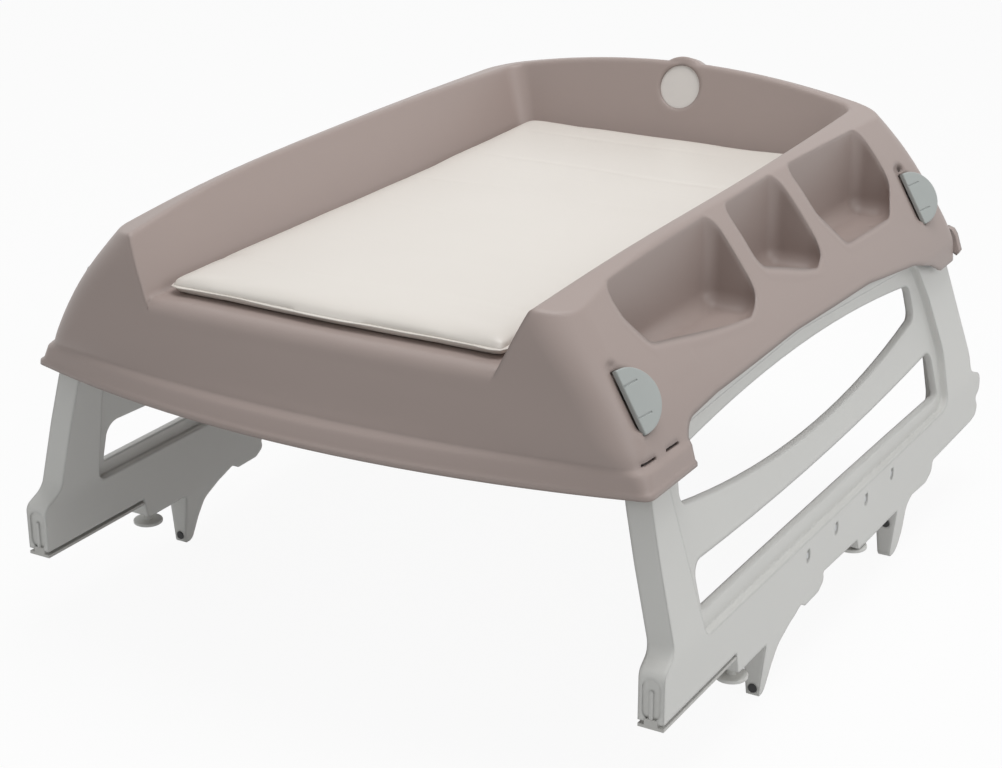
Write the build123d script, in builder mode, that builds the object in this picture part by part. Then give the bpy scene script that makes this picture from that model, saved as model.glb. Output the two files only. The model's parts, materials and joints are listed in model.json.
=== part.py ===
from build123d import *
import os
from math import atan2, cos, degrees, hypot, sin, sqrt, tan, radians

os.makedirs("parts", exist_ok=True)

# A changing table that stands across a bathtub or a cot.
# A moulded top shell carries a thin mat, and two moulded leg panels hinge
# inward under it. X runs across the table, Y from its front (the open end
# of the mat) to its back, Z up. The origin is the middle of its footprint.

# Driving sizes of the leg panels
leg_length = 914.0
leg_height = 272.0
hook_drop = 82.0
leg_back_share = 0.984
leg_thickness = 27.0
web_thickness = 9.0
leg_lean = 12.9
leg_foot_x = 371.5
leg_bend_height = 60.0
leg_bend_radius = 90.0

# Driving sizes of the shell
lip_height = 223.0
lip_reach = 41.0
shell_height = 207.0
shell_half_width = 360.0
shell_length = 903.0
shell_wall = 4.5
ridge_round = 4.0
front_edge_round = 16.0
front_bead_radius = 15.0
rim_arch = 27.0
crown_half_width = 250.0
floor_height = 99.0
floor_flat = 561.0
floor_rise = 12.0
pocket_floor = 77.0
pocket_round = 16.0

# Clearances
run_gap = 0.05
lie_gap = 0.3
plate_gap = 0.5
overrun = 60.0

# Places that follow from the sizes above
sole_z = hook_drop
axis_z = sole_z + leg_height
toe_y = -(leg_back_share * leg_length - lip_reach) / 2
lip_z = sole_z + lip_height
shell_y = toe_y - lip_reach
lean = radians(leg_lean)
half_leg = leg_thickness / 2
crown_radius = (crown_half_width**2 + rim_arch**2) / (2 * rim_arch)
axis_x = leg_foot_x - (leg_height - leg_bend_height) * tan(lean)


def leg_y(share):
    return toe_y + share * leg_length


def leg_z(share):
    return sole_z + share * leg_height


def shell_at_y(share):
    return shell_y + share * shell_length


def shell_at_z(share):
    return lip_z + share * shell_height


def save(piece, name):
    piece.label = name
    export_step(piece, "parts/" + name + ".step")


def mirrored(piece):
    return mirror(piece, about=Plane.YZ)


sides = {"right": 1, "left": -1}


# Plan outlines of the shell, from the lip up. Each row holds shares of the
# shell's height, half width and length: level, half width at the front, in
# the middle and at the back, front at the middle, front at the corners, back
# at the corners, back at the middle, front and back corner radius.
lip_shares = (
    (0.000, 1.003, 1.006, 1.003, 0.0000, 0.0585, 0.984, 0.998, 0.033, 0.072),
    (0.019, 1.002, 1.006, 1.003, 0.0010, 0.0590, 0.984, 0.998, 0.033, 0.072),
    (0.031, 0.993, 1.005, 1.002, 0.0050, 0.0610, 0.983, 0.997, 0.036, 0.072),
    (0.097, 0.979, 1.003, 1.001, 0.0135, 0.0610, 0.982, 0.994, 0.050, 0.074),
    (0.126, 0.961, 1.001, 0.999, 0.0240, 0.0610, 0.981, 0.992, 0.070, 0.075),
)
body_shares = (
    (0.126, 0.961, 1.001, 0.999, 0.0240, 0.0610, 0.981, 0.992, 0.070, 0.075),
    (0.188, 0.947, 0.989, 0.987, 0.0300, 0.0550, 0.979, 0.990, 0.095, 0.078),
    (0.300, 0.918, 0.960, 0.956, 0.0370, 0.0540, 0.975, 0.986, 0.110, 0.083),
    (0.469, 0.860, 0.897, 0.905, 0.0490, 0.0550, 0.968, 0.980, 0.110, 0.090),
    (0.638, 0.789, 0.828, 0.843, 0.0570, 0.0600, 0.961, 0.975, 0.120, 0.097),
    (0.831, 0.694, 0.737, 0.748, 0.0670, 0.0700, 0.953, 0.968, 0.125, 0.106),
    (1.048, 0.575, 0.622, 0.622, 0.0770, 0.0800, 0.948, 0.963, 0.125, 0.114),
)
# The well for the mat is open at the front, so its corners there are square.
well_shares = (
    (0.430, 0.553, 0.002, 0.900, 0.911, 0.050),
    (1.097, 0.700, 0.061, 0.945, 0.959, 0.083),
)
# Height of the side ridges along the shell
crown_shares = (
    (-0.021, 0.728),
    (0.079, 0.755),
    (0.189, 0.812),
    (0.355, 0.855),
    (0.544, 0.865),
    (0.765, 0.865),
    (0.909, 0.857),
    (1.020, 0.855),
)


def plan_outline(row, inset=0.0):
    level, front_width, belly_width, back_width = row[:4]
    front, front_end, back_end, back, front_round, back_round = row[4:]
    front_half = front_width * shell_half_width - inset
    belly = belly_width * shell_half_width - inset
    back_half = back_width * shell_half_width - inset
    front_y = shell_at_y(front) + inset
    front_end_y = shell_at_y(front_end) + inset
    back_end_y = shell_at_y(back_end) - inset
    back_y = shell_at_y(back) - inset
    middle_y = (front_end_y + back_end_y) / 2
    with BuildSketch(Plane.XY.offset(shell_at_z(level))) as outline:
        with BuildLine():
            ThreePointArc((-front_half, front_end_y), (0, front_y), (front_half, front_end_y))
            ThreePointArc((front_half, front_end_y), (belly, middle_y), (back_half, back_end_y))
            ThreePointArc((back_half, back_end_y), (0, back_y), (-back_half, back_end_y))
            ThreePointArc((-back_half, back_end_y), (-belly, middle_y), (-front_half, front_end_y))
        make_face()
        corners = outline.vertices()
        fillet(corners.group_by(Axis.Y)[0], front_round * shell_half_width - inset / 2)
        corners = outline.vertices()
        fillet(corners.group_by(Axis.Y)[-1], back_round * shell_half_width - inset)
    return outline.sketch


def shell_body(inset):
    with BuildPart() as body:
        for row in body_shares:
            add(plan_outline(row, inset))
        loft()
    return body.part


def shell_lip(inset):
    with BuildPart() as lip:
        for row in lip_shares:
            add(plan_outline(row, inset))
        loft(ruled=True)
    return lip.part


def crown_block(drop):
    reach = shell_half_width + overrun
    fall = crown_radius - sqrt(crown_radius**2 - reach**2)
    with BuildPart() as block:
        for place, level in crown_shares:
            top_z = shell_at_z(level) + rim_arch - drop
            with BuildSketch(Plane.XZ.offset(-shell_at_y(place))):
                with BuildLine():
                    ThreePointArc((-reach, top_z - fall), (0, top_z), (reach, top_z - fall))
                    Polyline((reach, top_z - fall), (reach, 0), (-reach, 0), (-reach, top_z - fall))
                make_face()
        loft(ruled=False)
    return block.part


def well_outline(row, inset=0.0):
    level, width, bulge, back_end, back, back_round = row
    half = width * shell_half_width + inset
    belly = half + bulge * shell_half_width
    front_y = shell_y - overrun
    back_end_y = shell_at_y(back_end) + inset
    back_y = shell_at_y(back) + inset
    middle_y = (shell_y + back_end_y) / 2
    with BuildSketch(Plane.XY.offset(shell_at_z(level))) as outline:
        with BuildLine():
            Line((-half, front_y), (half, front_y))
            ThreePointArc((half, front_y), (belly, middle_y), (half, back_end_y))
            ThreePointArc((half, back_end_y), (0, back_y), (-half, back_end_y))
            ThreePointArc((-half, back_end_y), (-belly, middle_y), (-half, front_y))
        make_face()
        corners = outline.vertices()
        fillet(corners.group_by(Axis.Y)[-1], back_round * shell_half_width + inset)
    return outline.sketch


# The floor of the well is flat and rises on one arc towards the back.
floor_z = lip_z + floor_height
floor_flat_y = shell_y + floor_flat
floor_run = shell_length - floor_flat
floor_radius = (floor_run**2 + floor_rise**2) / (2 * floor_rise)


def floor_at(y):
    run = max(y - floor_flat_y, 0)
    return floor_z + floor_radius - sqrt(floor_radius**2 - run**2)


def above_floor(drop):
    reach = shell_half_width + overrun
    back_y = floor_flat_y + floor_run
    top_z = shell_at_z(1) + 2 * overrun
    front_y = shell_y - 2 * overrun
    with BuildPart() as block:
        with BuildSketch(Plane.YZ.offset(-reach)):
            with BuildLine():
                Line((front_y, floor_z - drop), (floor_flat_y, floor_z - drop))
                ThreePointArc(
                    (floor_flat_y, floor_z - drop),
                    (floor_flat_y + floor_run / 2, floor_at(floor_flat_y + floor_run / 2) - drop),
                    (back_y, floor_at(back_y) - drop),
                )
                Polyline(
                    (back_y, floor_at(back_y) - drop),
                    (back_y + overrun, floor_at(back_y) - drop),
                    (back_y + overrun, top_z),
                    (front_y, top_z),
                    (front_y, floor_z - drop),
                )
            make_face()
        extrude(amount=2 * reach)
    return block.part


def well_block(inset):
    with BuildPart() as well:
        for row in well_shares:
            add(well_outline(row, inset))
        loft(ruled=True)
        add(above_floor(inset), mode=Mode.INTERSECT)
    return well.part


# Three open pockets in the right slope, in plan. Each corner holds shares
# of the half width and the length, and its radius as a share of the width.
pocket_shares = (
    (
        (0.725, 0.157, 0.044),
        (0.728, 0.412, 0.039),
        (0.881, 0.412, 0.044),
        (0.921, 0.375, 0.039),
        (0.848, 0.174, 0.056),
        (0.792, 0.157, 0.022),
    ),
    (
        (0.728, 0.446, 0.039),
        (0.728, 0.590, 0.039),
        (0.894, 0.594, 0.044),
        (0.919, 0.560, 0.044),
        (0.856, 0.446, 0.033),
    ),
    (
        (0.728, 0.625, 0.039),
        (0.739, 0.847, 0.039),
        (0.867, 0.845, 0.050),
        (0.922, 0.793, 0.083),
        (0.914, 0.657, 0.050),
        (0.839, 0.625, 0.039),
    ),
)


def pocket_block(corners, inset):
    points = [(x * shell_half_width, shell_at_y(y)) for x, y, _ in corners]
    radii = [radius * shell_half_width for _, _, radius in corners]
    with BuildPart() as pocket:
        with BuildSketch(Plane.XY.offset(lip_z + pocket_floor - inset)):
            with BuildLine():
                FilletPolyline(*points, radius=radii, close=True)
            make_face()
            if inset:
                offset(amount=inset)
        extrude(amount=shell_height)
        fillet(pocket.faces().sort_by(Axis.Z)[0].edges(), pocket_round)
    return pocket.part


# The sides and the back of the shell are cut up into arches, so that the
# leg panels pass under them. Shares of the length and height, with radii.
side_arch_shares = (
    (0.165, -0.300, 0.000),
    (0.165, 0.188, 0.120),
    (0.245, 0.222, 0.300),
    (0.450, 0.250, 0.900),
    (0.666, 0.227, 0.900),
    (0.810, 0.155, 0.500),
    (0.876, 0.075, 0.300),
    (0.915, 0.000, 0.060),
    (0.930, -0.300, 0.000),
)
back_arch_shares = (
    (0.860, -0.300, 0.000),
    (0.822, 0.000, 0.100),
    (0.745, 0.316, 0.120),
    (-0.745, 0.316, 0.120),
    (-0.822, 0.000, 0.100),
    (-0.860, -0.300, 0.000),
)


# A small ear stands out of the lip at each back corner.
lip_ear_shares = (
    (0.962, 0.182),
    (0.984, 0.170),
    (0.996, 0.140),
    (1.014, 0.046),
    (1.006, 0.020),
    (0.986, 0.040),
    (0.972, 0.024),
    (0.962, -0.010),
)
lip_ear_width_shares = (0.9710, 0.9830)


def lip_ear():
    start, end = [shell_at_y(share) for share in lip_ear_width_shares]
    points = [(x * shell_half_width, shell_at_z(z)) for x, z in lip_ear_shares]
    with BuildPart() as ear:
        with BuildSketch(Plane.XZ.offset(-start)):
            with BuildLine():
                Polyline(*points, close=True)
            make_face()
        extrude(amount=start - end)
    return ear.part


def side_arch():
    points = [(shell_at_y(y), shell_at_z(z)) for y, z, _ in side_arch_shares]
    radii = [radius * shell_height for _, _, radius in side_arch_shares]
    reach = shell_half_width + overrun
    with BuildPart() as arch:
        with BuildSketch(Plane.YZ.offset(-reach)):
            with BuildLine():
                FilletPolyline(*points, radius=radii, close=True)
            make_face()
        extrude(amount=2 * reach)
    return arch.part


def back_arch():
    points = [(x * shell_half_width, shell_at_z(z)) for x, z, _ in back_arch_shares]
    radii = [radius * shell_height for _, _, radius in back_arch_shares]
    with BuildPart() as arch:
        with BuildSketch(Plane.XZ.offset(-shell_at_y(side_arch_shares[-2][0]))):
            with BuildLine():
                FilletPolyline(*points, radius=radii, close=True)
            make_face()
        extrude(amount=-2 * overrun)
    return arch.part


# Release buttons: a D-shaped cap in a shallow pan near each corner, on a
# plane that leans back with the slope of the shell's side.
button_places = {
    "front": {"share": 0.0914, "x": 321.8, "level": 77.6, "slope": 59.5, "yaw": 3.0},
    "rear": {"share": 0.8857, "x": 328.5, "level": 89.0, "slope": 58.0, "yaw": 8.0},
}
button_length = 64.0
button_depth = 36.0
button_low = 3.0
button_high = 13.0
button_travel = 4.0
button_sunk = 2.0
button_edge_round = 1.6
button_gap = 0.5
stem_radius = 4.5
stem_length = 27.0
stem_across = 14.0
stem_up = 6.0
pan_wall = 3.0
pan_floor = 2.8
pan_rise = 8.0
scoop_radius = 24.0
scoop_length = 80.0
scoop_shift = 8.0
scoop_depth = 4.0
scoop_reach = 16.0
cup_radius = 10.5
cup_bore = 8.8
cup_depth = 14.0
cup_floor = 3.0
cup_flange_radius = 16.0
cup_flange = 2.0
spring_radius = 7.0
spring_wire = 1.2
spring_turns = 5
spring_steps_each_turn = 24
clip_radius = 7.0
clip_thickness = 1.2

pan_depth = button_sunk + button_travel + plate_gap
seat_depth = pan_depth + pan_floor


def button_plane(end):
    place = button_places[end]
    slope = radians(place["slope"])
    yaw = radians(place["yaw"])
    outward = (sin(slope) * cos(yaw), -sin(slope) * sin(yaw), cos(slope))
    origin = (place["x"], shell_at_y(place["share"]), lip_z + place["level"])
    return Plane(origin=origin, x_dir=(sin(yaw), cos(yaw), 0), z_dir=outward)


def button_outline(spread=0.0):
    half = button_length / 2 + spread
    with BuildSketch() as outline:
        with BuildLine():
            straight = Line((-spread, -half), (-spread, half))
            ThreePointArc(straight @ 1, (button_depth + spread, 0), straight @ 0)
        make_face()
    return outline.sketch


def stem_place():
    return Location((stem_across, stem_up, 0))


def pan_block(end):
    plane = button_plane(end)
    with BuildPart() as pan:
        with BuildSketch(plane.offset(pan_rise)):
            add(button_outline(button_gap + pan_wall))
            with Locations((-scoop_reach / 2, scoop_shift)):
                Rectangle(scoop_reach + 2 * pan_wall, scoop_length)
        extrude(amount=-pan_rise - seat_depth)
    return pan.part


def pan_opening(end):
    plane = button_plane(end)
    with BuildPart() as opening:
        with BuildSketch(plane.offset(-pan_depth)):
            add(button_outline(button_gap))
        extrude(amount=pan_depth + overrun)
        with BuildSketch(plane):
            with Locations(stem_place()):
                Circle(cup_bore)
        extrude(amount=-overrun)
    return opening.part


def finger_scoop(end):
    middle = button_plane(end).offset(scoop_radius - scoop_depth)
    start = middle.origin + middle.y_dir * (scoop_shift - scoop_length / 2)
    with BuildPart() as scoop:
        with BuildSketch(Plane(origin=start, x_dir=middle.x_dir, z_dir=middle.y_dir)):
            Circle(scoop_radius)
        extrude(amount=scoop_length)
        fillet(scoop.edges().filter_by(GeomType.CIRCLE), scoop_radius / 2)
    return scoop.part


# Hinges: brackets screwed under the shell hold short pins that run through
# the round top edge of each leg panel.
hinge_shares = {"front": 0.2050, "rear": 0.8110}
ear_width = 30.0
ear_radius = 8.5
ear_gap = 0.5
pin_radius = 4.0
pin_length = 44.0
bore_side = {"front": -1, "rear": 1}
bracket_width = 27.0
bracket_shift = 12.0
bracket_length = 50.0
bracket_plate = 4.0
bracket_screw_radius = 2.0
bracket_screw_head = 4.0
bracket_screw_head_height = 2.4
bracket_screw_length = 8.0
bracket_screw_inset = 5.5
notch_radius = 15.0
seat_width = 42.0

seat_z = lip_z + pocket_floor - shell_wall
plate_z = seat_z - bracket_plate
screw_spacing = bracket_length - 2 * bracket_screw_inset


def hinge_y(end):
    return shell_at_y(hinge_shares[end])


def bracket_middle(side):
    return side * (axis_x - bracket_shift)


def seat_block(side, end):
    with BuildPart() as seat:
        with BuildSketch(Plane.XY.offset(seat_z)):
            with Locations((bracket_middle(side), hinge_y(end))):
                Rectangle(seat_width, bracket_length + shell_wall)
        extrude(amount=shell_height)
    return seat.part


# Badge boss on the back wall, and the two slits in each front corner
badge_radius = 27.0
badge_thickness = 2.0
boss_radius = 38.0
boss_back = 22.0
badge_level = 175.0
badge_share = 0.9435
badge_lean = 17.0
boss_round = 3.0
slit_length = 25.0
slit_height = 3.2
slit_shares = (0.0858, 0.1334)
slit_level = 27.5


def badge_plane():
    angle = radians(badge_lean)
    origin = (0, shell_at_y(badge_share), lip_z + badge_level)
    return Plane(origin=origin, x_dir=(1, 0, 0), z_dir=(0, -cos(angle), sin(angle)))


def badge_boss():
    plane = badge_plane()
    with BuildPart() as boss:
        with BuildSketch(plane.offset(-boss_back)):
            Circle(boss_radius)
        extrude(amount=boss_back)
        fillet(boss.faces().sort_by(Axis.Y)[0].edges(), boss_round)
    return boss.part


def slit_block():
    with BuildPart() as slits:
        with BuildSketch(Plane.YZ.offset(-shell_half_width - overrun)):
            with Locations(*[(shell_at_y(share), lip_z + slit_level) for share in slit_shares]):
                SlotOverall(slit_length, slit_height)
        extrude(amount=2 * (shell_half_width + overrun))
    return slits.part


def is_front_floor_edge(edge):
    middle = edge.center()
    return middle.Y < toe_y + overrun and abs(middle.X) < shell_wall and middle.Z > shell_at_z(0.3)


# A thick bead under the front edge of the floor leaves room to round it.
def front_bead():
    reach = well_shares[0][1] * shell_half_width
    edge_y = shell_at_y(body_shares[3][4])
    with BuildPart() as bead:
        with BuildSketch(Plane.YZ.offset(-reach)):
            with Locations((edge_y + front_bead_radius, floor_z - front_bead_radius)):
                Circle(front_bead_radius)
        extrude(amount=2 * reach)
    return bead.part


def make_shell():
    with BuildPart() as envelope:
        add(shell_body(0))
        add(crown_block(0), mode=Mode.INTERSECT)
        add(shell_lip(0))
    with BuildPart() as outside:
        add(envelope.part)
        add(well_block(0), mode=Mode.SUBTRACT)
        ridge = outside.faces().sort_by(Axis.Z)[-1]
        fillet(ridge.edges(), ridge_round)
        front_edge = outside.edges().filter_by(is_front_floor_edge)
        fillet(front_edge, front_edge_round)
    with BuildPart() as pads:
        for side in sides.values():
            for end in hinge_shares:
                add(seat_block(side, end))
        add(front_bead())
        for end in button_places:
            pan = pan_block(end)
            add(pan)
            add(mirrored(pan))
        add(envelope.part, mode=Mode.INTERSECT)
    with BuildPart() as hollow:
        add(shell_body(shell_wall))
        add(crown_block(shell_wall), mode=Mode.INTERSECT)
        add(shell_lip(shell_wall))
        extrude(plan_outline(lip_shares[0], shell_wall), amount=overrun, dir=(0, 0, -1))
        add(well_block(shell_wall), mode=Mode.SUBTRACT)
        for corners in pocket_shares:
            add(pocket_block(corners, shell_wall), mode=Mode.SUBTRACT)
        add(badge_boss(), mode=Mode.SUBTRACT)
        add(pads.part, mode=Mode.SUBTRACT)
    with BuildPart() as shell:
        add(outside.part)
        add(badge_boss())
        for corners in pocket_shares:
            add(pocket_block(corners, 0), mode=Mode.SUBTRACT)
        add(hollow.part, mode=Mode.SUBTRACT)
        for end in button_places:
            opening = pan_opening(end)
            scoop = finger_scoop(end)
            for cutter in (opening, scoop):
                add(cutter, mode=Mode.SUBTRACT)
                add(mirrored(cutter), mode=Mode.SUBTRACT)
        add(side_arch(), mode=Mode.SUBTRACT)
        add(back_arch(), mode=Mode.SUBTRACT)
        ear = lip_ear()
        add(ear)
        add(mirrored(ear))
        add(slit_block(), mode=Mode.SUBTRACT)
        with BuildSketch(badge_plane().offset(-badge_thickness)):
            Circle(badge_radius + run_gap)
        extrude(amount=overrun, mode=Mode.SUBTRACT)
        add(bracket_screw_holes(), mode=Mode.SUBTRACT)
        for end in button_places:
            holes = guide_screw_holes(end)
            add(holes, mode=Mode.SUBTRACT)
            add(mirrored(holes), mode=Mode.SUBTRACT)
    return shell.part


# Leg panel outline: shares of its length and of the height from sole to
# hinge, with the corner radii as shares of that height.
hook_face_shares = {"front": 0.2615, "rear": 0.6745}
plate_share = -0.068
hook_share = -hook_drop / leg_height
leg_outline_shares = (
    (0.000, 0.026, 0.000),
    (0.000, 0.210, 0.044),
    (0.027, 0.257, 0.066),
    (0.031, 0.551, 0.441),
    (0.039, 0.850, 0.150),
    (0.132, 0.925, 0.100),
    (0.1425, 1.140, 0.000),
    (0.889, 1.140, 0.000),
    (0.951, 0.338, 0.150),
    (0.947, 0.257, 0.037),
    (0.980, 0.225, 0.060),
    (leg_back_share, 0.140, 0.040),
    (0.968, 0.113, 0.018),
    (0.979, 0.060, 0.030),
    (0.975, 0.022, 0.035),
    (0.955, 0.010, 0.030),
    (0.803, 0.004, 0.018),
    (0.800, -0.045, 0.030),
    (0.780, -0.074, 0.035),
    (0.728, -0.064, 0.040),
    (0.711, -0.090, 0.060),
    (0.711, -0.215, 0.100),
    (0.701, hook_share, 0.060),
    (hook_face_shares["rear"], hook_share, 0.030),
    (hook_face_shares["rear"], plate_share, 0.018),
    (0.540, plate_share, 0.026),
    (0.533, -0.012, 0.018),
    (0.424, 0.000, 0.010),
    (0.428, -0.040, 0.026),
    (0.412, -0.070, 0.040),
    (0.372, -0.072, 0.030),
    (0.360, -0.047, 0.030),
    (0.330, -0.080, 0.080),
    (0.300, -0.130, 0.080),
    (0.288, -0.200, 0.060),
    (0.276, hook_share, 0.034),
    (hook_face_shares["front"], hook_share, 0.012),
    (hook_face_shares["front"], plate_share, 0.018),
    (0.184, plate_share, 0.018),
    (0.178, 0.026, 0.000),
)
# The thin web with its two slots fills a window in the thick frame.
leg_window_shares = (
    (0.098, 0.213, 0.044),
    (0.079, 0.790, 0.051),
    (0.107, 0.934, 0.088),
    (0.438, 0.963, 1.471),
    (0.812, 0.882, 0.088),
    (0.838, 0.699, 0.110),
    (0.860, 0.441, 0.221),
    (0.849, 0.199, 0.081),
)
upper_slot_shares = (
    (0.109, 0.669),
    (0.481, 0.548),
    (0.802, 0.647),
    (0.801, 0.794),
    (0.446, 0.886),
    (0.123, 0.842),
)
lower_slot_shares = (
    (0.114, 0.276),
    (0.481, 0.272),
    (0.840, 0.257),
    (0.838, 0.471),
    (0.481, 0.430),
    (0.114, 0.456),
)
upper_slot_round = 13.0
lower_slot_round = 5.0
lower_slot_back_round = 16.0
hook_taper = 7.0

# Small features of the leg panel
strip_share = 0.178
strip_height = 3.2
strip_neck = 14.0
strip_neck_height = 3.0
strip_screw_radius = 1.6
strip_screw_head = 3.4
strip_screw_head_height = 2.0
strip_screw_length = 14.0
strip_screw_shares = (0.30, 0.80)
dimple_shares = (0.374, 0.460, 0.556, 0.644)
dimple_level_share = 0.140
dimple_width = 9.0
dimple_height = 15.0
dimple_depth = 3.0
stiffener_length = 280.0
stiffener_height = 34.0
stiffener_thickness = 3.0
rail_screw_radius = 1.6
rail_screw_head = 3.4
rail_screw_head_height = 2.0
rail_screw_length = 13.0
toe_recess_width = 19.0
toe_recess_height = 43.0
toe_recess_depth = 2.2
toe_recess_base = 9.0
toe_rib_width = 4.0
toe_rib_height = 31.0
plug_radius = 5.0
plug_length = 12.0
plug_proud = 1.2
plug_rises = {"front": 9.0, "rear": 44.0}
foot_places = {"front": {"share": 0.2000, "drop": 10.0}, "rear": {"share": 0.5560, "drop": 1.6}}
foot_disc_radius = 17.0
foot_disc_thickness = 4.0
foot_stem_radius = 4.6
foot_shank_radius = 4.0
foot_shank_length = 30.0
insert_radius = 7.0
insert_height = 12.0

plate_bottom_z = leg_z(plate_share)
plate_toe_z = leg_z(leg_outline_shares[0][1])
strip_length = strip_share * leg_length
stiffener_y = leg_y((dimple_shares[0] + dimple_shares[-1]) / 2)
stiffener_z = leg_z(dimple_level_share)


def strip_screw_places():
    return [(leg_foot_x, toe_y + share * strip_length) for share in strip_screw_shares]


# Bent cross-section of the panel, round at the hinge axis
def leg_section(half):
    elbow = half * tan(lean / 2)
    bend_z = sole_z + leg_bend_height
    top_out = (axis_x + half * cos(lean), axis_z + half * sin(lean))
    top_in = (axis_x - half * cos(lean), axis_z - half * sin(lean))
    cap = (axis_x - half * sin(lean), axis_z + half * cos(lean))
    taper = min(hook_taper, half / 2) if half == half_leg else 0
    bend_out = (leg_foot_x + half, bend_z + elbow)
    bend_in = (leg_foot_x - half, bend_z - elbow)
    with BuildSketch(Plane.XZ.offset(overrun - toe_y)) as section:
        with BuildLine():
            ThreePointArc(top_in, cap, top_out)
            Polyline(
                top_out,
                bend_out,
                (leg_foot_x + half, plate_bottom_z),
                (leg_foot_x + half - taper, 0),
                (leg_foot_x - half + taper, 0),
                (leg_foot_x - half, plate_bottom_z),
                bend_in,
                top_in,
            )
        make_face()
        bends = [v for v in section.vertices() if abs(v.Y - bend_z) <= elbow + run_gap]
        fillet(bends, leg_bend_radius)
    return section.sketch


def leg_slab(half):
    with BuildPart() as slab:
        extrude(leg_section(half), amount=leg_length + 2 * overrun, dir=(0, 1, 0))
    return slab.part


def leg_outline(shares):
    points = [(leg_y(y), leg_z(z)) for y, z, _ in shares]
    radii = [radius * leg_height for _, _, radius in shares]
    with BuildSketch(Plane.YZ) as outline:
        with BuildLine():
            FilletPolyline(*points, radius=radii, close=True)
        make_face()
    return outline.sketch


def slot_outline(shares, front_round, back_round):
    a, b, c, d, e, f = [(leg_y(y), leg_z(z)) for y, z in shares]
    with BuildSketch(Plane.YZ) as outline:
        with BuildLine():
            ThreePointArc(a, b, c)
            Line(c, d)
            ThreePointArc(d, e, f)
            Line(f, a)
        make_face()
        ends = outline.vertices().sort_by(Axis.Y)
        fillet(ends[:2], front_round)
        ends = outline.vertices().sort_by(Axis.Y)
        fillet(ends[-2:], back_round)
    return outline.sketch


def ring_body():
    reach = shell_half_width + overrun
    with BuildPart() as ring:
        extrude(leg_outline(leg_outline_shares), amount=reach, dir=(1, 0, 0))
        extrude(leg_outline(leg_window_shares), amount=reach, dir=(1, 0, 0), mode=Mode.SUBTRACT)
        add(leg_slab(half_leg), mode=Mode.INTERSECT)
    return ring.part


def web_body():
    reach = shell_half_width + overrun
    upper = slot_outline(upper_slot_shares, upper_slot_round, upper_slot_round)
    lower = slot_outline(lower_slot_shares, lower_slot_round, lower_slot_back_round)
    with BuildPart() as web:
        extrude(leg_outline(leg_window_shares), amount=reach, dir=(1, 0, 0))
        add(leg_slab(web_thickness / 2), mode=Mode.INTERSECT)
        extrude(upper, amount=reach, dir=(1, 0, 0), mode=Mode.SUBTRACT)
        extrude(lower, amount=reach, dir=(1, 0, 0), mode=Mode.SUBTRACT)
    return web.part


def toe_recess():
    base_z = sole_z + toe_recess_base
    with BuildPart() as recess:
        with BuildSketch(Plane.XZ.offset(-toe_y - toe_recess_depth)):
            with Locations((leg_foot_x, base_z + toe_recess_height / 2)):
                SlotOverall(toe_recess_height, toe_recess_width, rotation=90)
            with Locations((leg_foot_x, base_z + toe_rib_height / 2)):
                SlotOverall(toe_rib_height, toe_rib_width, rotation=90, mode=Mode.SUBTRACT)
        extrude(amount=overrun)
    return recess.part


# Rubber plugs stand a little proud of the front faces of the hooks.
def hook_plug_places():
    places = {}
    for end, share in hook_face_shares.items():
        places[end] = (leg_y(share) - plug_proud, sole_z - hook_drop + plug_rises[end])
    return places


def foot_spots():
    return [(leg_foot_x, leg_y(place["share"])) for place in foot_places.values()]


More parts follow.
